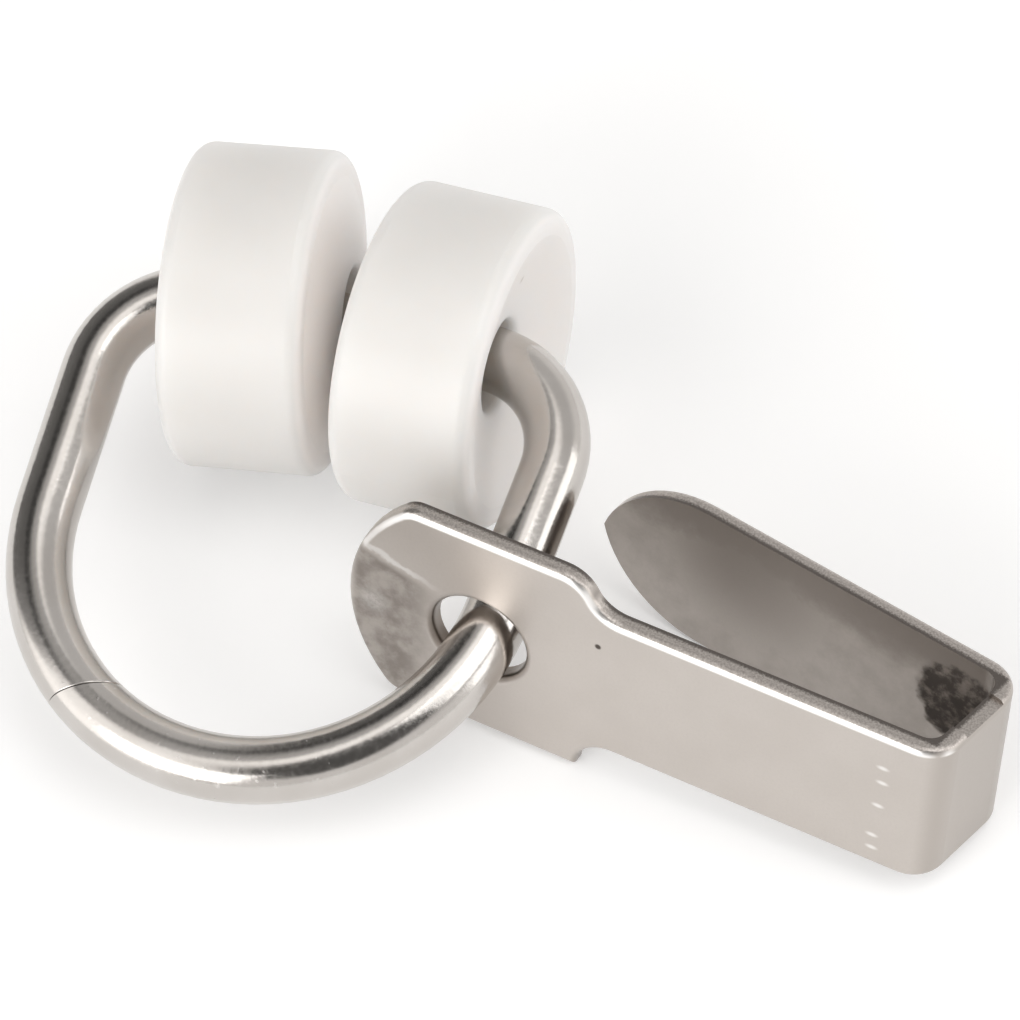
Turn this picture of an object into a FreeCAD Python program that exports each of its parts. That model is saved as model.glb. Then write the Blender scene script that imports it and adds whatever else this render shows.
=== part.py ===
"""Curtain glider: two loose rollers on a bent wire ring, with a folded hook clip threaded on the ring.

The glider lies on a table as it comes to rest: the rollers' treads and the clip's lower edges on Z = 0.
"""
import FreeCAD, Part
import math
import os

Vector = FreeCAD.Vector

# Wire ring, sizes along the middle of the wire
wire_diameter = 2.0
axle_half_length = 4.22
ring_corner_radius = 3.12
ring_side_length = 4.345
ring_bottom_radius = 7.16
joint_gap = 0.03
joint_angle = 57.0
joint_slant = 30.0
joint_edge_round = 0.04

# Rollers
roller_diameter = 9.9
roller_width = 4.42
roller_edge_round = 0.42
dish_diameter = 8.4
dish_depth = 0.85
dome_diameter = 8.4
dome_height = 0.68
bore_play = 0.84
bore_edge_round = 0.25

# Where the rollers stand on the axle: the wire lies low and back in the loose bores, and each is turned aside
wire_drop = 0.07
left_roller_place = -2.87
left_roller_forward = 0.06
left_roller_turn = 9.0
right_roller_place = 3.33
right_roller_forward = 0.22
right_roller_turn = -1.4

# Hook clip, sizes on the flat strip
sheet_thickness = 0.55
eye_play = 1.04
head_end = 4.33
head_width = 7.86
head_end_radius = 5.4
head_corner_round = 0.8
eye_below_middle = 0.19
neck_place = 3.34
arm_width = 5.5
shoulder_start = 2.5
shoulder_run = 2.0
arm_length = 14.54
rolled_edge = 0.25

# Hook clip, the fold and the tongue behind it
fold_width = 4.19
fold_turn = 77.0
fold_outer_radius = 1.1
tongue_splay = 9.1
tongue_length = 14.4
tongue_point_length = 3.6
fold_notch_width = 1.7
fold_notch_depth = 0.12

# How the glider rests: the clip's eye carries the ring clear of the table
ring_bottom_lift = 1.692
eye_angle = 11.36
eye_clearance = 0.04
wire_aside = 0.08
clip_yaw = -9.1
clip_pitch = 2.1
clip_lean = 12.5

# Worked out from the sizes above
wire_radius = wire_diameter / 2
bore_radius = (wire_diameter + bore_play) / 2
eye_radius = (wire_diameter + eye_play) / 2
bottom_centre = ring_corner_radius + ring_side_length
axle_to_bottom = bottom_centre + ring_bottom_radius
ring_drop = roller_diameter / 2 - wire_drop - wire_radius - ring_bottom_lift
ring_tilt = math.degrees(math.asin(ring_drop / axle_to_bottom))

x_axis = Vector(1, 0, 0)
y_axis = Vector(0, 1, 0)
z_axis = Vector(0, 0, 1)
origin = Vector(0, 0, 0)


def polar(centre, radius, degrees):
    """Point at an angle on a circle drawn in the XY plane."""
    angle = math.radians(degrees)
    return centre + Vector(radius * math.cos(angle), radius * math.sin(angle), 0)


def line(start, end):
    return Part.LineSegment(start, end).toShape()


def arc(centre, radius, first, last):
    """Arc in the XY plane from one angle to another, in degrees, either way round."""
    middle = (first + last) / 2
    points = [polar(centre, radius, angle) for angle in (first, middle, last)]
    return Part.Arc(*points).toShape()


def extruded(edges, direction):
    """Solid from a closed chain of edges."""
    return Part.Face(Part.Wire(edges)).extrude(direction)


def turned(shape, axis, degrees):
    """Copy of a shape turned about an axis through the origin."""
    copy = shape.copy()
    copy.rotate(origin, axis, degrees)
    return copy


def roll_edges(plate, join):
    """Round the edges of a flat plate's upper face, except where the strip goes on at X = join."""
    edges = []
    for edge in plate.Edges:
        on_upper_face = edge.BoundBox.ZMin > sheet_thickness / 2
        at_join = abs(edge.CenterOfMass.x - join) < rolled_edge
        if on_upper_face and not at_join:
            edges.append(edge)
    return plate.makeFillet(rolled_edge, edges)


def placed(shape, place, turn):
    """Copy of a shape turned about the origin and then moved."""
    copy = shape.copy()
    copy.Placement = FreeCAD.Placement(place, turn).multiply(copy.Placement)
    return copy


def ring_point(degrees):
    """Point of the wire's middle on the ring's round bottom, from its right end downwards."""
    return polar(Vector(0, -bottom_centre, 0), ring_bottom_radius, -degrees)


def make_wire_ring():
    """Ring in the XY plane: axle along X through the origin, round bottom towards -Y, sides drawing in to it."""
    side_slant = math.atan2(ring_side_length, axle_half_length)
    side_reach = math.hypot(ring_side_length, axle_half_length)
    side_slant -= math.acos((ring_bottom_radius - ring_corner_radius) / side_reach)
    right_end = math.degrees(side_slant)
    left_end = 180 - right_end
    corner_right = Vector(axle_half_length, -ring_corner_radius, 0)
    corner_left = Vector(-axle_half_length, -ring_corner_radius, 0)
    bottom = Vector(0, -bottom_centre, 0)
    right_corner_end = polar(corner_right, ring_corner_radius, right_end)
    left_corner_end = polar(corner_left, ring_corner_radius, left_end)
    path = [
        line(Vector(-axle_half_length, 0, 0), Vector(axle_half_length, 0, 0)),
        arc(corner_right, ring_corner_radius, 90, right_end),
        line(right_corner_end, polar(bottom, ring_bottom_radius, right_end)),
        arc(bottom, ring_bottom_radius, right_end, left_end - 360),
        line(polar(bottom, ring_bottom_radius, left_end), left_corner_end),
        arc(corner_left, ring_corner_radius, left_end, 90),
    ]
    section = Part.Wire(Part.makeCircle(wire_radius, Vector(-axle_half_length, 0, 0), x_axis))
    ring = Part.Wire(path).makePipeShell([section], True, True)
    return cut_butt_joint(ring)


def cut_butt_joint(ring):
    """Part the wire where its two sheared ends meet, and take the sharp edge off both ends."""
    reach = wire_diameter
    slit = Part.makeBox(joint_gap, 2 * reach, 2 * reach, Vector(-joint_gap / 2, -reach, -reach))
    slit = turned(slit, z_axis, joint_angle - 90 - joint_slant)
    place = ring_point(180 - joint_angle)
    slit.translate(place)
    ring = ring.cut(slit).Solids[0]
    ends = [edge for edge in ring.Edges if edge.CenterOfMass.distanceToPoint(place) < joint_gap]
    return ring.makeFillet(joint_edge_round, ends)


def cap_arc(tip, height, base_radius, first_radius, last_radius):
    """Arc of a spherical cap's outline, its tip on the X axis, between two distances from that axis."""
    ball = (base_radius ** 2 + height ** 2) / (2 * height)
    angles = [math.degrees(math.asin(radius / ball)) for radius in (first_radius, last_radius)]
    return arc(Vector(tip - ball, 0, 0), ball, *angles)


def make_roller():
    """Roller about the X axis, centred on the origin: dished face to -X, domed face to +X, loose bore."""
    radius = roller_diameter / 2
    rim = radius - roller_edge_round
    side = roller_width / 2
    shoulder = side - roller_edge_round
    dish_radius = dish_diameter / 2
    dome_radius = dome_diameter / 2
    dish = cap_arc(dish_depth - side, dish_depth, dish_radius, bore_radius, dish_radius)
    dome = cap_arc(side + dome_height, dome_height, dome_radius, dome_radius, bore_radius)
    profile = [
        dish,
        line(Vector(-side, dish_radius, 0), Vector(-side, rim, 0)),
        arc(Vector(-shoulder, rim, 0), roller_edge_round, 180, 90),
        line(Vector(-shoulder, radius, 0), Vector(shoulder, radius, 0)),
        arc(Vector(shoulder, rim, 0), roller_edge_round, 90, 0),
        line(Vector(side, rim, 0), Vector(side, dome_radius, 0)),
        dome,
        line(dome.Vertexes[-1].Point, dish.Vertexes[0].Point),
    ]
    body = Part.Face(Part.Wire(profile)).revolve(origin, x_axis, 360)
    mouths = [edge for edge in body.Edges if edge.Closed and edge.BoundBox.YLength < radius]
    return body.makeFillet(bore_edge_round, mouths)


def clip_levels():
    """Heights across the strip, from the eye's centre: head top and bottom, arm top and bottom."""
    head_top = eye_below_middle + head_width / 2
    head_bottom = eye_below_middle - head_width / 2
    arm_middle = eye_below_middle
    return head_top, head_bottom, arm_middle + arm_width / 2, arm_middle - arm_width / 2


def front_plate(bend_start):
    """Head with its eye and the front arm, drawn flat in XY and extruded through the sheet."""
    head_top, head_bottom, arm_top, arm_bottom = clip_levels()
    end_centre = Vector(head_end_radius - head_end, 0, 0)
    top_angle = 180 - math.degrees(math.asin(head_top / head_end_radius))
    bottom_angle = 180 - math.degrees(math.asin(head_bottom / head_end_radius))
    top_step = head_top - arm_top
    shoulder_turn = 2 * math.degrees(math.atan(top_step / shoulder_run))
    shoulder_radius = shoulder_run / math.sin(math.radians(shoulder_turn)) / 2
    shoulder_end = shoulder_start + shoulder_run
    brow = Vector(shoulder_start, head_top - shoulder_radius, 0)
    crook = Vector(shoulder_end, arm_top + shoulder_radius, 0)
    low_step = arm_bottom - head_bottom
    notch = Vector(neck_place + low_step, head_bottom, 0)
    outline = [
        arc(end_centre, head_end_radius, bottom_angle, top_angle),
        line(polar(end_centre, head_end_radius, top_angle), polar(brow, shoulder_radius, 90)),
        arc(brow, shoulder_radius, 90, 90 - shoulder_turn),
        arc(crook, shoulder_radius, 270 - shoulder_turn, 270),
        line(polar(crook, shoulder_radius, 270), Vector(bend_start, arm_top, 0)),
        line(Vector(bend_start, arm_top, 0), Vector(bend_start, arm_bottom, 0)),
        line(Vector(bend_start, arm_bottom, 0), polar(notch, low_step, 90)),
        arc(notch, low_step, 90, 180),
        line(polar(notch, low_step, 180), polar(end_centre, head_end_radius, bottom_angle)),
    ]
    plate = extruded(outline, z_axis * sheet_thickness)
    upright = [edge for edge in plate.Edges if edge.BoundBox.ZLength > sheet_thickness / 2]
    corners = [edge for edge in upright if edge.CenterOfMass.x < 0]
    plate = plate.makeFillet(head_corner_round, corners)
    eye = Part.makeCylinder(eye_radius, sheet_thickness)
    plate = plate.cut(eye)
    return roll_edges(plate, bend_start)


def fold_and_tongue(front_corner, bend_start):
    """The two bends with the wall between them, and the pointed tongue, both drawn in XY from above.

    The strip's outer face runs along Y = 0 up to the front corner, turns, and comes back splayed.
    """
    arm_bottom = clip_levels()[3]
    inner_radius = fold_outer_radius - sheet_thickness
    wall_way = polar(origin, 1, fold_turn)
    back_corner = front_corner + wall_way * fold_width
    back_angle = 180 - tongue_splay
    tongue_way = polar(origin, 1, back_angle)
    inward = polar(origin, 1, back_angle + 90)
    back_setback = fold_outer_radius * math.tan(math.radians(back_angle - fold_turn) / 2)
    front_centre = Vector(bend_start, fold_outer_radius, 0)
    tongue_start = back_corner + tongue_way * back_setback
    back_centre = tongue_start + inward * fold_outer_radius

    def bent_edges(radius):
        """Both bends at one radius, with the straight wall between them."""
        first = arc(front_centre, radius, -90, fold_turn - 90)
        second = arc(back_centre, radius, fold_turn - 90, back_angle - 90)
        wall = line(polar(front_centre, radius, fold_turn - 90), polar(back_centre, radius, fold_turn - 90))
        return [first, wall, second]

    ends = [
        line(Vector(bend_start, 0, 0), Vector(bend_start, sheet_thickness, 0)),
        line(tongue_start, tongue_start + inward * sheet_thickness),
    ]
    outer_edges = bent_edges(fold_outer_radius)
    section = Part.Wire(Part.__sortEdges__(outer_edges + bent_edges(inner_radius) + ends))
    fold = Part.Face(section).extrude(z_axis * arm_width)
    outer_line = Part.Wire(outer_edges)
    rims = []
    for edge in fold.Edges:
        middle = edge.valueAt((edge.FirstParameter + edge.LastParameter) / 2)
        from_outer = outer_line.distToShape(Part.Vertex(middle.x, middle.y, 0))[0]
        if from_outer < rolled_edge and edge.BoundBox.ZLength < rolled_edge:
            rims.append(edge)
    fold = fold.makeFillet(rolled_edge, rims)

    notch = Part.makeBox(fold_notch_width, 4 * sheet_thickness, fold_notch_depth)
    notch.translate(Vector(-fold_notch_width / 2, -2 * sheet_thickness, arm_width - fold_notch_depth))
    notch = turned(notch, z_axis, fold_turn)
    notch.translate(front_corner + wall_way * (fold_width / 2))
    fold = fold.cut(notch)

    tongue_turn = FreeCAD.Rotation(tongue_way, inward, z_axis, "ZXY")
    tongue = placed(pointed_plate(tongue_length - back_setback), tongue_start, tongue_turn)
    for piece in (fold, tongue):
        piece.translate(Vector(0, 0, arm_bottom))
    return fold, tongue


def pointed_plate(length):
    """Flat tongue along +X with a pointed-arch end, standing on edge and extruded towards +Y."""
    half = arm_width / 2
    arch = (tongue_point_length ** 2 + half ** 2) / (2 * half)
    shoulder = length - tongue_point_length
    sweep = math.degrees(math.asin(tongue_point_length / arch))
    lower = arc(Vector(shoulder, arch, 0), arch, -90, sweep - 90)
    upper = arc(Vector(shoulder, arm_width - arch, 0), arch, 90 - sweep, 90)
    outline = [
        line(origin, Vector(shoulder, 0, 0)),
        lower,
        upper,
        line(Vector(shoulder, arm_width, 0), Vector(0, arm_width, 0)),
        line(Vector(0, arm_width, 0), origin),
    ]
    plate = roll_edges(extruded(outline, z_axis * sheet_thickness), 0)
    plate = turned(plate, x_axis, 90)
    plate.translate(y_axis * sheet_thickness)
    return plate


def make_hook_clip():
    """Clip standing on edge: eye centre at the origin, arm along +X, front face towards -Y."""
    bend_setback = fold_outer_radius * math.tan(math.radians(fold_turn) / 2)
    front_corner = Vector(arm_length, 0, 0)
    bend_start = arm_length - bend_setback
    front = turned(front_plate(bend_start), x_axis, 90)
    front.translate(y_axis * sheet_thickness)
    fold, tongue = fold_and_tongue(front_corner, bend_start)
    clip = front.fuse([fold, tongue]).removeSplitter()
    clip.translate(y_axis * (-sheet_thickness / 2))
    return clip


def ring_pose():
    """The ring's bottom hangs lower than its axle."""
    return FreeCAD.Rotation(x_axis, ring_tilt)


def clip_pose(ring_turn):
    """Turn of the standing clip, and the place of its eye with the wire lying near the eye's lower edge."""
    turn = FreeCAD.Rotation(z_axis, clip_yaw)
    turn = turn.multiply(FreeCAD.Rotation(y_axis, clip_pitch))
    turn = turn.multiply(FreeCAD.Rotation(x_axis, -clip_lean))
    along_wire = ring_turn.multVec(polar(origin, 1, -eye_angle - 90))
    slant = abs(along_wire.dot(turn.multVec(y_axis)))
    slant_tangent = math.sqrt(1 - slant ** 2) / slant
    wire_reach = wire_radius / slant + sheet_thickness / 2 * slant_tangent
    eye_lift = eye_radius - wire_reach - eye_clearance
    wire_point = ring_turn.multVec(ring_point(eye_angle))
    eye_place = wire_point + turn.multVec(Vector(-wire_aside, 0, eye_lift))
    return eye_place, turn, wire_point, along_wire


def main():
    ring_turn = ring_pose()
    pieces = {"wire_ring": placed(make_wire_ring(), origin, ring_turn)}
    axes = {}
    left_middle = Vector(left_roller_place, -left_roller_forward, wire_drop)
    right_middle = Vector(right_roller_place, -right_roller_forward, wire_drop)
    rollers = {
        "left_roller": (left_middle, left_roller_turn),
        "right_roller": (right_middle, right_roller_turn + 180),
    }
    for name, (middle, aside) in rollers.items():
        turn = FreeCAD.Rotation(z_axis, aside)
        pieces[name] = placed(make_roller(), middle, turn)
        axes[name] = (middle, turn.multVec(x_axis))
    eye_place, clip_turn, wire_point, along_wire = clip_pose(ring_turn)
    pieces["hook_clip"] = placed(make_hook_clip(), eye_place, clip_turn)
    axes["hook_clip"] = (wire_point, along_wire)

    box = Part.Compound(list(pieces.values())).optimalBoundingBox(False, False)
    to_table = Vector(-box.Center.x, -box.Center.y, -box.ZMin)
    os.makedirs("parts", exist_ok=True)
    for name, piece in pieces.items():
        piece.translate(to_table)
        piece.exportStep(f"parts/{name}.step")
        low = round(piece.optimalBoundingBox(False, False).ZMin, 3)
        print(name, piece.isValid(), len(piece.Solids), "volume", round(piece.Volume, 3), "lowest", low)
    print("box", box.XLength, box.YLength, box.ZLength, "ring tilt", ring_tilt, "moved by", to_table)
    for name, (point, axis) in axes.items():
        print(name, "turns about", point + to_table, axis)


main()
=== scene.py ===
"""Curtain glider on a white studio floor, seen as in the photograph: rollers, wire ring and hook clip."""
import math

import bpy
from mathutils import Matrix, Vector

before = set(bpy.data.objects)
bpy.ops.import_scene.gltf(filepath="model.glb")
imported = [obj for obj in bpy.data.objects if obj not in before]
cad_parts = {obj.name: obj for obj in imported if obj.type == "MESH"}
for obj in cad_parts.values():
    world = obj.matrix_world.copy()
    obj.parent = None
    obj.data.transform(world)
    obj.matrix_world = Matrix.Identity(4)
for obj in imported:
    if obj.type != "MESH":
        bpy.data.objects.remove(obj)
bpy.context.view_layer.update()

scene = bpy.context.scene
scene.view_settings.view_transform = "Standard"

MM_PER_M = 1000

# Camera, from the photograph's perspective, with lengths in metres where not named otherwise
CAMERA_PLACE = Vector((0.0363443, -0.0728569, 0.12693))
CAMERA_RIGHT = Vector((0.94379, 0.31655, -0.09513))
CAMERA_UP = Vector((-0.21572, 0.80795, 0.54834))
CAMERA_AHEAD = Vector((-0.25043, 0.49700, -0.83083))
CAMERA_NEAR = 0.005
CAMERA_FAR = 10
FOCAL_PIXELS = 5000
PHOTO_PIXELS = 1020
SENSOR_MM = 36.0

# The clip's eye, in metres, and its directions: along the arm, from front to back, across the strip
EYE_CENTRE = Vector((-0.00018395, -0.00352693, 0.00384955))
CLIP_ALONG = Vector((0.986751, -0.158052, -0.036644))
CLIP_BACK = Vector((0.146578, 0.965263, -0.216294))
CLIP_ACROSS = Vector((0.069557, 0.208057, 0.975640))

# Faces round the inside of the clip's fold, each with a direction into the gap and a point in millimetres
ARM_INSIDE = (CLIP_BACK, Vector((4.247, -3.925, 3.806)))
WALL_INSIDE = (Vector((-0.928487, 0.371138, -0.012951)), Vector((14.330, -4.100, 3.083)))
TONGUE_INSIDE = (Vector((-0.300795, -0.928116, 0.219367)), Vector((8.512, -0.502, 2.779)))

# In every group below a NOISE is scale, detail and roughness. A RAMP is the low and high end of a value
# and, where they aren't 0 and 1, the results at those ends. A REACH is a mark's radius and its full core.
# A BUMP is a height in metres and a strength.
NOISE_MEAN = 0.5
NOISE_MIDDLE_RAMP = (0.3, 0.7)
WHITE = (1, 1, 1, 1)

# Polished wire, in metres, with its worn part by y in millimetres
WIRE_LOW = (0.545, 0.515, 0.485, 1)
WIRE_HIGH = (0.60, 0.572, 0.545, 1)
WIRE_PIT = (0.72, 0.70, 0.68, 1)
WIRE_PIT_SHARE = 0.3
WIRE_GRAIN_NOISE = (6500.0, 3.0, 0.6)
WIRE_CLOUD_NOISE = (420.0, 3.0, 0.5)
WIRE_PIT_NOISE = (5200.0, 2.0, 0.5)
WIRE_PIT_RAMP = (0.62, 0.78)
WIRE_WORN_RAMP = (-9.5, -5.5, 1.0, 0.1)
WIRE_ROUGHNESS_RAMP = (0.3, 0.75, 0.13, 0.22)
WIRE_PIT_ROUGHNESS = 0.15
WIRE_GRAIN_BUMP = (0.000004, 0.6)
WIRE_PIT_BUMP = (0.000003, 0.4)

# Plated sheet of the clip, in millimetres, and its outer layer by the depth from inside the fold
PLATE_LOW = (0.55, 0.508, 0.471, 1)
PLATE_HIGH = (0.57, 0.528, 0.491, 1)
PLATE_GRAIN = (0.515, 0.474, 0.439, 1)
PLATE_CLOUD_NOISE = (0.55, 3.0, 0.5)
PLATE_GRAIN_NOISE = (11.0, 4.0, 0.65)
PLATE_GRAIN_RAMP = (0.4, 0.7, 0.0, 0.3)
PLATE_ROUGHNESS_RAMP = (0.3, 0.75, 0.29, 0.33)
PLATE_BUMP = (0.000002, 0.4)
OUTER_LAYER_RAMP = (0.3, 0.5)
# Painted shade: the short end wall of the fold darker, by the way it faces
FOLD_END_SHADE = (0.45, 0.412, 0.379, 1)
FOLD_END_SHADE_RAMP = (0.5, 0.95)

# Painted shade inside the tongue, in streaks, darker along its upper edge and towards its tip
TONGUE_SHADE = (0.30, 0.268, 0.242, 1)
TONGUE_INNER_FACING_RAMP = (0.6, 0.95)
TONGUE_INNER_BACK_RAMP = (0.6, 1.2)
SHADE_STREAK_RAMP = (0.3, 0.75, 0.3, 0.6)
SHADE_STREAK_NOISE = (0.9, 5.0, 0.65)
SHADE_STREAK_LIFT = 2.0
HIGH_SHADE_RAMP = (1.2, 3.4, 0.0, 0.95)
TIP_SHADE_PLACE = (6.2, 4.9, 1.6)
TIP_SHADE_REACH = (5.5, 0.5)
TIP_SHADE_SHARE = 0.9

# Painted reflection of the wire ring beside the eye: dark and mottled, below a bright reflected line that
# slopes along the head
RING_REFLECTION_DARK = (0.23, 0.202, 0.18, 1)
REFLECTION_ENDS_RAMPS = ((-2.6, -1.0, 1.0, 0.0), (-4.4, -3.9))
REFLECTION_BELOW_RAMP = (-0.35, 0.0, 1.0, 0.0)
REFLECTION_MOTTLE_NOISE = (1.3, 4.0, 0.6)
REFLECTION_MOTTLE_RAMP = (0.3, 0.65, 0.35, 0.85)
RING_REFLECTION_BRIGHT = (0.85, 0.83, 0.81, 1)
BRIGHT_LINE_LEVEL = 0.93
BRIGHT_LINE_SLOPE = 0.29
BRIGHT_LINE_WAVER = 0.5
BRIGHT_LINE_ABOVE = 0.08
BRIGHT_LINE_RAMP = (0.04, 0.16, 0.7, 0.0)

# Small marks on the front, placed from the eye's centre: along, back, across. The ripples beside the bend
# get painted highlights; the scuff and the pit are wear
RIPPLE_GLINT_AND_SCUFF = (0.93, 0.91, 0.89, 1)
BEND_GLINTS = ((12.86, 1.64), (12.9, 1.03), (12.86, 0.03), (12.8, -1.28), (12.84, -1.81))
BEND_GLINT_BACK = -0.055
BEND_SQUEEZE_ALONG = 0.45
BEND_SQUEEZE_BACK = 0.2
BEND_GLINT_REACH = (0.12, 0.02)
BEND_GLINT_SHARE_RAMP = (0.3, 0.5, 0.0, 0.7)
SCUFF_PLACE = (-3.45, -0.28, -0.2)
SCUFF_REACH = (0.7, 0.1)
SCUFF_RAMP = (0.2, 0.8, 0.1, 0.35)
PIT = (0.09, 0.075, 0.065, 1)
PIT_PLACE = (3.84, -0.28, 1.79)
PIT_REACH = (0.13, 0.06)

# Sheared rims with a torn line, a painted highlight along the upper front edge and the wall of the eye
SHEARED_LOW = (0.36, 0.325, 0.30, 1)
SHEARED_HIGH = (0.56, 0.52, 0.487, 1)
RIM_RAMP = (0.55, 0.8)
RIM_ROUGHNESS = 0.06
RIM_PIT_NOISE = (16.0, 3.0, 0.6)
RIM_BUMP = (0.00002, 0.6)
TORN = (0.12, 0.105, 0.095, 1)
TORN_WAVER = 0.16
TORN_RAMP = (0.07, 0.2, 0.92, 0.0)
EDGE_HIGHLIGHT = (0.95, 0.93, 0.91, 1)
EDGE_HIGHLIGHT_UP_RAMP = (0.03, 0.2)
EDGE_HIGHLIGHT_ACROSS_RAMP = (1.8, 2.2)
EDGE_HIGHLIGHT_FRONT_RAMP = (0.3, 0.6)
EYE_WALL = (0.34, 0.303, 0.272, 1)
EYE_REACH = (1.9, 1.7)
EYE_WALL_RAMP = (0.4, 0.8, 1.0, 0.0)

# Brown stain in the inner corner of the fold
STAIN_LOW = (0.085, 0.07, 0.06, 1)
STAIN_HIGH = (0.30, 0.262, 0.232, 1)
STAIN_PLACE = (13.65, 3.75, 0.9)
STAIN_REACH = (2.3, 0.6)
STAIN_NOISE = (1.7, 4.0, 0.55)
STAIN_WAVER = 0.7
STAIN_RAMP = (0.34, 0.6)
STAIN_DEPTH_RAMP = (0.3, 0.2)
CRUST_NOISE = (2.6, 4.0, 0.6)
CRUST_RAMP = (0.42, 0.7)
STAIN_METAL_LOSS = 0.6
STAIN_ROUGHNESS = 0.3

# Nylon of the rollers, in metres, with specks on the right roller in millimetres
NYLON_LOW = (0.775, 0.76, 0.737, 1)
NYLON_HIGH = (0.795, 0.781, 0.76, 1)
# Painted light: the flat sides of the rollers paler, for light glowing through the nylon
NYLON_SIDE_LIGHT = (0.92, 0.88, 0.856, 1)
NYLON_SIDE_LIGHT_RAMP = (0.6, 0.95, 0.0, 0.7)
NYLON_CLOUD_NOISE = (240.0, 3.0, 0.5)
NYLON_ROUGHNESS_RAMP = (0.3, 0.7, 0.3, 0.36)
NYLON_SCATTER = 0.8
NYLON_SCATTER_COLOURS = (1.0, 0.92, 0.86)
NYLON_SCATTER_DEPTH = 0.002
SPECK = (0.42, 0.36, 0.31, 1)
SPECK_PLACES = ((-1.97, 6.69, 7.07), (-2.20, 3.27, 9.38))
SPECK_REACH = (0.2, 0.05)
SPECK_SHARE = 0.5

# White floor, in metres
FLOOR_WIDTH = 6.0
FLOOR_LOW = (0.81, 0.81, 0.81, 1)
FLOOR_HIGH = (0.83, 0.83, 0.83, 1)
FLOOR_NOISE = (30.0, 3.0, 0.5)
FLOOR_ROUGHNESS = 0.9
FLOOR_GLOW = 0.28

# Pale studio: light of the walls and the top by height, a glow towards an azimuth and elevation
STUDIO_TINT = (1, 0.985, 0.97, 1)
WALL_RAMP = (0.25, 0.62, 0.9, 0.65)
TOP_RAMP = (0.85, 0.98, 0.0, 0.85)
GLOW_WAY = (-138, 30)
GLOW_RAMP = (0.74, 0.92, 0.0, 0.8)

# Dim parts of the studio: azimuth, elevation, cosines of the outer and inner edge, light left
DIM_CORNERS = ((-62, 50, 0.84, 0.93, 0.16), (158, 30, 0.79, 0.89, 0.22), (152, 63, 0.91, 0.97, 0.4))

# Lamps: name, azimuth and elevation in degrees, distance, width and height in metres, radiance
SOFTBOXES = (
    ("key", -114, 25, 0.4, 0.28, 0.25, 2.0),
    ("side", -8, 58, 0.4, 0.2, 0.3, 1.6),
    ("fill", 8, 18, 0.4, 0.3, 0.2, 1.2),
)


def make_camera():
    data = bpy.data.cameras.new("camera")
    data.sensor_width = SENSOR_MM
    data.lens = SENSOR_MM * FOCAL_PIXELS / PHOTO_PIXELS
    data.clip_start = CAMERA_NEAR
    data.clip_end = CAMERA_FAR
    camera = bpy.data.objects.new("camera", data)
    turn = Matrix((CAMERA_RIGHT, CAMERA_UP, -CAMERA_AHEAD)).transposed()
    camera.matrix_world = Matrix.Translation(CAMERA_PLACE) @ turn.to_4x4()
    scene.collection.objects.link(camera)
    scene.camera = camera


class Nodes:
    """Short calls for building the nodes of a material or of the world."""

    def __init__(self, tree):
        self.tree = tree

    def add(self, kind, inputs=None, **settings):
        node = self.tree.nodes.new(kind)
        for name, value in settings.items():
            setattr(node, name, value)
        for name, value in (inputs or {}).items():
            self.put(node.inputs[name], value)
        return node

    def put(self, socket, value):
        if isinstance(value, bpy.types.NodeSocket):
            self.tree.links.new(value, socket)
        else:
            socket.default_value = value

    def math(self, operation, *values):
        node = self.add("ShaderNodeMath", operation=operation)
        for index, value in enumerate(values):
            self.put(node.inputs[index], value)
        return node.outputs[0]

    def times(self, first, *others):
        for other in others:
            first = self.math("MULTIPLY", first, other)
        return first

    def plus(self, first, second):
        return self.math("ADD", first, second)

    def minus(self, first, second):
        return self.math("SUBTRACT", first, second)

    def larger(self, first, second):
        return self.math("MAXIMUM", first, second)

    def either_way(self, value):
        return self.math("ABSOLUTE", value)

    def waver(self, value, noise, amount):
        """A value shifted up and down by noise about its middle."""
        return self.plus(value, self.times(self.minus(noise, NOISE_MEAN), amount))

    def dot(self, vector, direction):
        node = self.add("ShaderNodeVectorMath", operation="DOT_PRODUCT")
        self.put(node.inputs[0], vector)
        node.inputs[1].default_value = direction
        return node.outputs["Value"]

    def ramp(self, value, low, high, to_low=0.0, to_high=1.0):
        """Smooth step of a value from one range to another."""
        node = self.add("ShaderNodeMapRange", interpolation_type="SMOOTHSTEP", clamp=True)
        self.put(node.inputs["Value"], value)
        settings = {"From Min": low, "From Max": high, "To Min": to_low, "To Max": to_high}
        for name, number in settings.items():
            node.inputs[name].default_value = number
        return node.outputs[0]

    def noise(self, vector, scale, detail, rough):
        node = self.add("ShaderNodeTexNoise", {"Scale": scale, "Detail": detail, "Roughness": rough})
        self.put(node.inputs["Vector"], vector)
        return node.outputs[0]

    def mix(self, factor, first, second):
        """Mix of two colours, which have sockets 6, 7 and 2 on the node."""
        node = self.add("ShaderNodeMix", data_type="RGBA")
        self.put(node.inputs[0], factor)
        self.put(node.inputs[6], first)
        self.put(node.inputs[7], second)
        return node.outputs[2]

    def spot(self, vector, centre, radius, core):
        """1 within the core of a round mark, falling to 0 at its radius."""
        node = self.add("ShaderNodeVectorMath", operation="DISTANCE")
        self.put(node.inputs[0], vector)
        node.inputs[1].default_value = centre
        return self.ramp(node.outputs["Value"], core, radius, 1.0, 0.0)

    def combine(self, x, y, z):
        return self.add("ShaderNodeCombineXYZ", {"X": x, "Y": y, "Z": z}).outputs[0]

    def bump(self, height, distance, strength, normal=None):
        node = self.add("ShaderNodeBump", {"Height": height, "Distance": distance, "Strength": strength})
        if normal is not None:
            self.put(node.inputs["Normal"], normal)
        return node.outputs[0]


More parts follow.
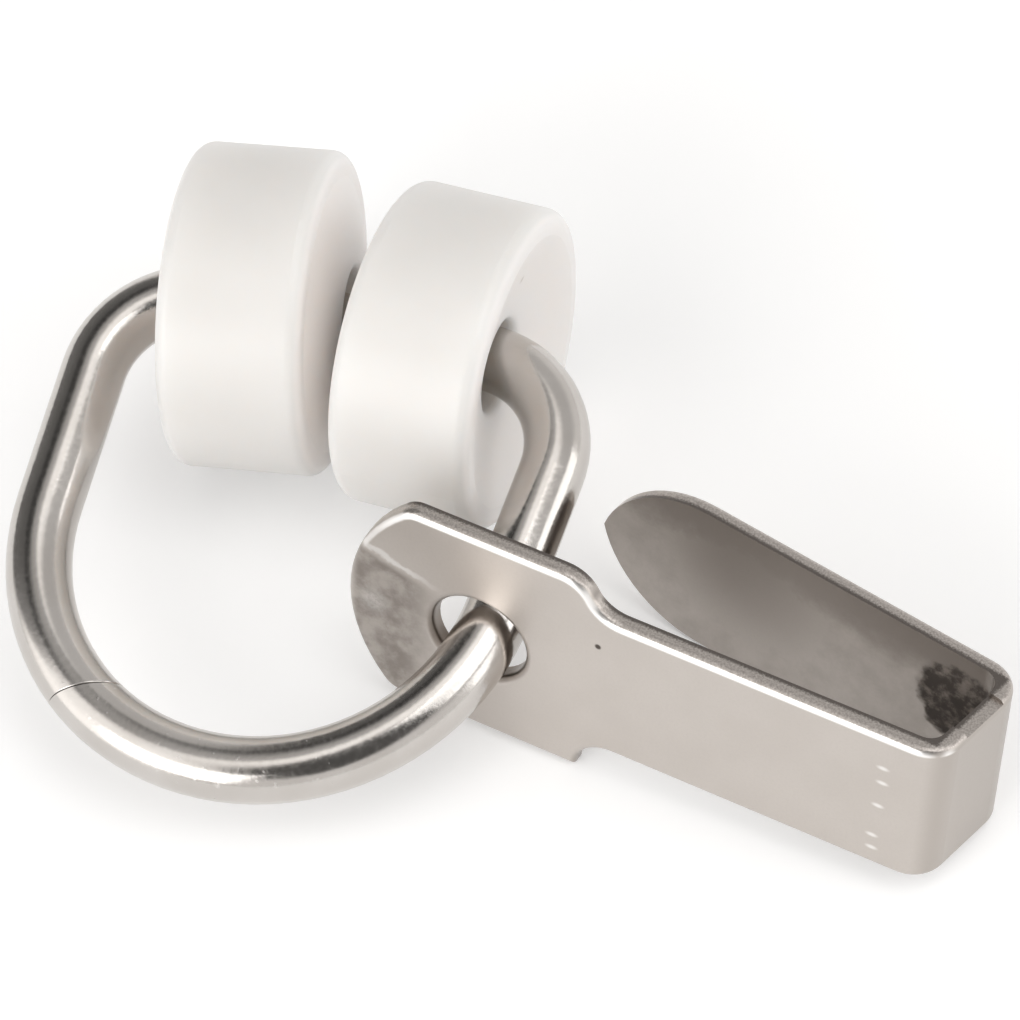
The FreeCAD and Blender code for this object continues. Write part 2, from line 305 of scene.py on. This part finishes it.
def new_material(name):
    """Empty node material: its nodes, its Principled shader and the piece's own coordinates."""
    material = bpy.data.materials.new(name)
    material.use_nodes = True
    nodes = Nodes(material.node_tree)
    shader = material.node_tree.nodes["Principled BSDF"]
    place = nodes.add("ShaderNodeTexCoord")
    return material, nodes, shader, place


def wire_material():
    """Polished wire with a fine grain, pitted near the bottom of the ring."""
    material, nodes, shader, place = new_material("polished_wire")
    spot = place.outputs["Object"]
    grain = nodes.noise(spot, *WIRE_GRAIN_NOISE)
    cloud = nodes.noise(spot, *WIRE_CLOUD_NOISE)
    pits = nodes.noise(spot, *WIRE_PIT_NOISE)
    worn = nodes.ramp(nodes.dot(spot, (0, MM_PER_M, 0)), *WIRE_WORN_RAMP)
    pitted = nodes.times(nodes.ramp(pits, *WIRE_PIT_RAMP), worn)
    colour = nodes.mix(nodes.ramp(cloud, *NOISE_MIDDLE_RAMP), WIRE_LOW, WIRE_HIGH)
    colour = nodes.mix(nodes.times(pitted, WIRE_PIT_SHARE), colour, WIRE_PIT)
    nodes.put(shader.inputs["Base Color"], colour)
    shader.inputs["Metallic"].default_value = 1.0
    rough = nodes.ramp(grain, *WIRE_ROUGHNESS_RAMP)
    rough = nodes.plus(rough, nodes.times(pitted, WIRE_PIT_ROUGHNESS))
    nodes.put(shader.inputs["Roughness"], rough)
    fine = nodes.bump(grain, *WIRE_GRAIN_BUMP)
    nodes.put(shader.inputs["Normal"], nodes.bump(pitted, *WIRE_PIT_BUMP, fine))
    return material


class ClipSheet:
    """What the marks on the clip share: millimetres from the eye's centre, noises and masks."""

    def __init__(self, nodes, place):
        here = place.outputs["Object"]
        self.nodes = nodes
        self.facing = place.outputs["Normal"]
        self.along, self.back, self.across = self.coordinates(here)
        self.spot = nodes.combine(self.along, self.back, self.across)
        self.depth = self.depth_from_inside(here)
        self.outer_layer = nodes.ramp(self.depth, *OUTER_LAYER_RAMP)
        self.grain = nodes.noise(self.spot, *PLATE_GRAIN_NOISE)
        self.rim_pits = nodes.noise(self.spot, *RIM_PIT_NOISE)
        self.rim = nodes.ramp(nodes.either_way(nodes.dot(self.facing, CLIP_ACROSS)), *RIM_RAMP)
        tongue = nodes.ramp(nodes.dot(self.facing, TONGUE_INSIDE[0]), *TONGUE_INNER_FACING_RAMP)
        self.tongue = nodes.times(tongue, nodes.ramp(self.back, *TONGUE_INNER_BACK_RAMP))

    def coordinates(self, here):
        """Along the arm, front to back, across."""
        away = self.nodes.add("ShaderNodeVectorMath", operation="SUBTRACT")
        self.nodes.put(away.inputs[0], here)
        away.inputs[1].default_value = EYE_CENTRE
        scaled = [way * MM_PER_M for way in (CLIP_ALONG, CLIP_BACK, CLIP_ACROSS)]
        return [self.nodes.dot(away.outputs[0], way) for way in scaled]

    def depth_from_inside(self, here):
        """Depth into the sheet, from the nearest of the faces inside the clip's fold."""
        nearest = None
        for way, point in (ARM_INSIDE, WALL_INSIDE, TONGUE_INSIDE):
            height = self.nodes.minus(self.nodes.dot(here, way * MM_PER_M), way.dot(point))
            nearest = height if nearest is None else self.nodes.math("MINIMUM", nearest, height)
        return self.nodes.times(nearest, -1)


def plated_face(nodes, sheet):
    """Plain plating, the short end wall of the fold painted darker as painted shade."""
    cloud = nodes.noise(sheet.spot, *PLATE_CLOUD_NOISE)
    face = nodes.mix(nodes.ramp(cloud, *NOISE_MIDDLE_RAMP), PLATE_LOW, PLATE_HIGH)
    face = nodes.mix(nodes.ramp(sheet.grain, *PLATE_GRAIN_RAMP), face, PLATE_GRAIN)
    end_wall_shade = nodes.ramp(nodes.dot(sheet.facing, -WALL_INSIDE[0]), *FOLD_END_SHADE_RAMP)
    return nodes.mix(end_wall_shade, face, FOLD_END_SHADE)


def add_tongue_painted_shade(nodes, sheet, face):
    """Painted shade inside the tongue, in streaks, darker along its upper edge and towards its tip."""
    streaks = nodes.noise(sheet.spot, *SHADE_STREAK_NOISE)
    level = nodes.plus(sheet.across, nodes.times(streaks, SHADE_STREAK_LIFT))
    high = nodes.ramp(level, *HIGH_SHADE_RAMP)
    tip = nodes.times(nodes.spot(sheet.spot, TIP_SHADE_PLACE, *TIP_SHADE_REACH), TIP_SHADE_SHARE)
    # Painted shade: streaks, the upper edge and the tip of the tongue's inner face darkened
    painted_shade = nodes.larger(nodes.ramp(streaks, *SHADE_STREAK_RAMP), nodes.larger(high, tip))
    return nodes.mix(nodes.times(sheet.tongue, painted_shade), face, TONGUE_SHADE)


def add_painted_ring_reflection(nodes, sheet, face):
    """Painted reflection of the wire ring beside the eye: dark and mottled, with a bright reflected line
    above it.
    """
    mottle = nodes.noise(sheet.spot, *REFLECTION_MOTTLE_NOISE)
    line = nodes.minus(BRIGHT_LINE_LEVEL, nodes.times(sheet.along, BRIGHT_LINE_SLOPE))
    above = nodes.waver(nodes.minus(sheet.across, line), mottle, BRIGHT_LINE_WAVER)
    ends = [nodes.ramp(sheet.along, *ramp) for ramp in REFLECTION_ENDS_RAMPS]
    beside = nodes.times(*ends, sheet.outer_layer)
    dark_reflection = nodes.times(nodes.ramp(above, *REFLECTION_BELOW_RAMP), nodes.ramp(mottle, *REFLECTION_MOTTLE_RAMP), beside)
    # Painted reflection: the dark, mottled mirror image of the wire ring
    face = nodes.mix(dark_reflection, face, RING_REFLECTION_DARK)
    # Painted reflection: the bright line of the mirrored wire above it
    off_bright_line = nodes.either_way(nodes.minus(above, BRIGHT_LINE_ABOVE))
    bright_reflection = nodes.times(nodes.ramp(off_bright_line, *BRIGHT_LINE_RAMP), beside)
    return nodes.mix(bright_reflection, face, RING_REFLECTION_BRIGHT)


def add_front_marks(nodes, sheet, face):
    """Painted highlights on the ripples beside the bend, a soft scuff on the head and one dark pit."""
    squeezed_along = nodes.times(sheet.along, BEND_SQUEEZE_ALONG)
    squeezed_back = nodes.times(sheet.back, BEND_SQUEEZE_BACK)
    squeezed = nodes.combine(squeezed_along, squeezed_back, sheet.across)
    # Painted highlights: bright spots on the ripples beside the bend
    ripple_glints = 0.0
    for far, level in BEND_GLINTS:
        centre = (far * BEND_SQUEEZE_ALONG, BEND_GLINT_BACK, level)
        ripple_glints = nodes.larger(ripple_glints, nodes.spot(squeezed, centre, *BEND_GLINT_REACH))
    ripple_glints = nodes.times(ripple_glints, nodes.ramp(sheet.depth, *BEND_GLINT_SHARE_RAMP))
    scuff = nodes.spot(sheet.spot, SCUFF_PLACE, *SCUFF_REACH)
    scuff = nodes.times(scuff, nodes.ramp(sheet.grain, *SCUFF_RAMP))
    face = nodes.mix(nodes.larger(ripple_glints, scuff), face, RIPPLE_GLINT_AND_SCUFF)
    return nodes.mix(nodes.spot(sheet.spot, PIT_PLACE, *PIT_REACH), face, PIT)


def add_edges(nodes, sheet, face):
    """Painted highlight along the upper edge on the front, sheared rims with a torn line, dark wall of the
    eye.
    """
    up = nodes.dot(sheet.facing, CLIP_ACROSS)
    front = nodes.dot(sheet.facing, -CLIP_BACK)
    # Painted highlight: the upper front edge made near white where it rolls over
    edge_highlight = nodes.times(nodes.ramp(up, *EDGE_HIGHLIGHT_UP_RAMP), sheet.outer_layer)
    edge_highlight = nodes.times(edge_highlight, nodes.ramp(sheet.across, *EDGE_HIGHLIGHT_ACROSS_RAMP))
    edge_highlight = nodes.times(edge_highlight, nodes.ramp(front, *EDGE_HIGHLIGHT_FRONT_RAMP))
    face = nodes.mix(edge_highlight, face, EDGE_HIGHLIGHT)
    sheared = nodes.mix(nodes.ramp(sheet.rim_pits, *NOISE_MIDDLE_RAMP), SHEARED_LOW, SHEARED_HIGH)
    torn = nodes.waver(sheet.depth, sheet.rim_pits, TORN_WAVER)
    sheared = nodes.mix(nodes.ramp(torn, *TORN_RAMP), sheared, TORN)
    colour = nodes.mix(sheet.rim, face, sheared)
    eye = nodes.spot(nodes.combine(sheet.along, 0.0, sheet.across), (0, 0, 0), *EYE_REACH)
    wall = nodes.ramp(nodes.either_way(front), *EYE_WALL_RAMP)
    return nodes.mix(nodes.times(eye, wall), colour, EYE_WALL)


def stain_in_fold(nodes, sheet):
    """Brown stain in the inner corner of the fold: how much of it there is, and its colour."""
    blot = nodes.noise(sheet.spot, *STAIN_NOISE)
    near = nodes.waver(nodes.spot(sheet.spot, STAIN_PLACE, *STAIN_REACH), blot, STAIN_WAVER)
    stain = nodes.times(nodes.ramp(near, *STAIN_RAMP), nodes.ramp(sheet.depth, *STAIN_DEPTH_RAMP))
    crust = nodes.ramp(nodes.noise(sheet.spot, *CRUST_NOISE), *CRUST_RAMP)
    return stain, nodes.mix(crust, STAIN_LOW, STAIN_HIGH)


def clip_material():
    """Plated sheet with painted shade in the tongue, a painted reflection beside the eye, marks with
    painted highlights, a painted edge highlight, sheared rims and stain.
    """
    material, nodes, shader, place = new_material("plated_sheet")
    sheet = ClipSheet(nodes, place)
    colour = plated_face(nodes, sheet)
    for add_layer in (add_tongue_painted_shade, add_painted_ring_reflection, add_front_marks, add_edges):
        colour = add_layer(nodes, sheet, colour)
    stain, brown = stain_in_fold(nodes, sheet)
    nodes.put(shader.inputs["Base Color"], nodes.mix(stain, colour, brown))
    nodes.put(shader.inputs["Metallic"], nodes.minus(1.0, nodes.times(stain, STAIN_METAL_LOSS)))
    rough = nodes.ramp(sheet.grain, *PLATE_ROUGHNESS_RAMP)
    rough = nodes.plus(rough, nodes.times(nodes.larger(sheet.rim, sheet.tongue), RIM_ROUGHNESS))
    rough = nodes.plus(rough, nodes.times(stain, STAIN_ROUGHNESS))
    nodes.put(shader.inputs["Roughness"], rough)
    fine = nodes.bump(sheet.grain, *PLATE_BUMP)
    coarse = nodes.bump(nodes.times(sheet.rim_pits, sheet.rim), *RIM_BUMP, fine)
    nodes.put(shader.inputs["Normal"], coarse)
    return material


def roller_material():
    """White nylon, its flat sides painted paler as painted light, with two specks."""
    material, nodes, shader, place = new_material("nylon")
    spot = place.outputs["Object"]
    cloud = nodes.noise(spot, *NYLON_CLOUD_NOISE)
    colour = nodes.mix(nodes.ramp(cloud, *NOISE_MIDDLE_RAMP), NYLON_LOW, NYLON_HIGH)
    sideways = nodes.either_way(nodes.dot(place.outputs["Normal"], (1, 0, 0)))
    # Painted light: the flat sides paler
    colour = nodes.mix(nodes.ramp(sideways, *NYLON_SIDE_LIGHT_RAMP), colour, NYLON_SIDE_LIGHT)
    millimetres = nodes.add("ShaderNodeVectorMath", operation="SCALE")
    nodes.put(millimetres.inputs[0], spot)
    millimetres.inputs["Scale"].default_value = MM_PER_M
    for speck in SPECK_PLACES:
        mark = nodes.spot(millimetres.outputs[0], speck, *SPECK_REACH)
        colour = nodes.mix(nodes.times(mark, SPECK_SHARE), colour, SPECK)
    nodes.put(shader.inputs["Base Color"], colour)
    nodes.put(shader.inputs["Roughness"], nodes.ramp(cloud, *NYLON_ROUGHNESS_RAMP))
    shader.inputs["Subsurface Weight"].default_value = NYLON_SCATTER
    shader.inputs["Subsurface Radius"].default_value = NYLON_SCATTER_COLOURS
    shader.inputs["Subsurface Scale"].default_value = NYLON_SCATTER_DEPTH
    return material


def dress(node, material):
    """Give a CAD piece one material in all its slots."""
    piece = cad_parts[node]
    if not piece.material_slots:
        piece.data.materials.append(material)
    for slot in piece.material_slots:
        slot.material = material


def floor_material():
    """White floor that glows a little where it is seen or mirrored, but doesn't light the object by it."""
    material, nodes, shader, place = new_material("white_floor")
    cloud = nodes.noise(place.outputs["Object"], *FLOOR_NOISE)
    nodes.put(shader.inputs["Base Color"], nodes.mix(cloud, FLOOR_LOW, FLOOR_HIGH))
    shader.inputs["Roughness"].default_value = FLOOR_ROUGHNESS
    shader.inputs["Specular IOR Level"].default_value = 0.0
    shader.inputs["Emission Color"].default_value = WHITE
    rays = nodes.add("ShaderNodeLightPath").outputs
    mirrored = nodes.larger(rays["Is Glossy Ray"], rays["Is Transmission Ray"])
    shown = nodes.larger(rays["Is Camera Ray"], mirrored)
    nodes.put(shader.inputs["Emission Strength"], nodes.times(shown, FLOOR_GLOW))
    return material


def make_floor():
    bpy.ops.mesh.primitive_plane_add(size=FLOOR_WIDTH)
    floor = bpy.context.object
    floor.name = "floor"
    floor.data.materials.append(floor_material())


def direction(azimuth, elevation):
    """Unit vector towards an azimuth and elevation in degrees."""
    a = math.radians(azimuth)
    e = math.radians(elevation)
    return Vector((math.cos(e) * math.cos(a), math.cos(e) * math.sin(a), math.sin(e)))


def make_world():
    """Pale studio: white round the horizon, greyer walls above, a glow beside the key, dim corners."""
    world = bpy.data.worlds.new("studio")
    world.use_nodes = True
    scene.world = world
    nodes = Nodes(world.node_tree)
    way = nodes.add("ShaderNodeTexCoord").outputs["Generated"]
    height = nodes.dot(way, (0, 0, 1))
    walls = nodes.plus(nodes.ramp(height, *WALL_RAMP), nodes.ramp(height, *TOP_RAMP))
    glow = nodes.ramp(nodes.dot(way, direction(*GLOW_WAY)), *GLOW_RAMP)
    level = nodes.plus(walls, glow)
    for azimuth, elevation, edge, core, share in DIM_CORNERS:
        dim = nodes.ramp(nodes.dot(way, direction(azimuth, elevation)), edge, core, 1.0, share)
        level = nodes.times(level, dim)
    background = world.node_tree.nodes["Background"]
    background.inputs["Color"].default_value = STUDIO_TINT
    nodes.put(background.inputs["Strength"], level)


def add_softbox(name, azimuth, elevation, distance, width, height, radiance):
    """Rectangular lamp aimed at the object from a direction, of a radiance where 1 is white."""
    data = bpy.data.lights.new(name, "AREA")
    data.shape = "RECTANGLE"
    data.size = width
    data.size_y = height
    data.energy = radiance * math.pi * width * height
    lamp = bpy.data.objects.new(name, data)
    way = direction(azimuth, elevation)
    lamp.location = way * distance
    lamp.rotation_euler = way.to_track_quat("Z", "Y").to_euler()
    scene.collection.objects.link(lamp)


make_camera()
make_world()
make_floor()
for softbox in SOFTBOXES:
    add_softbox(*softbox)
dress("wire_ring", wire_material())
dress("hook_clip", clip_material())
nylon = roller_material()
dress("left_roller", nylon)
dress("right_roller", nylon)
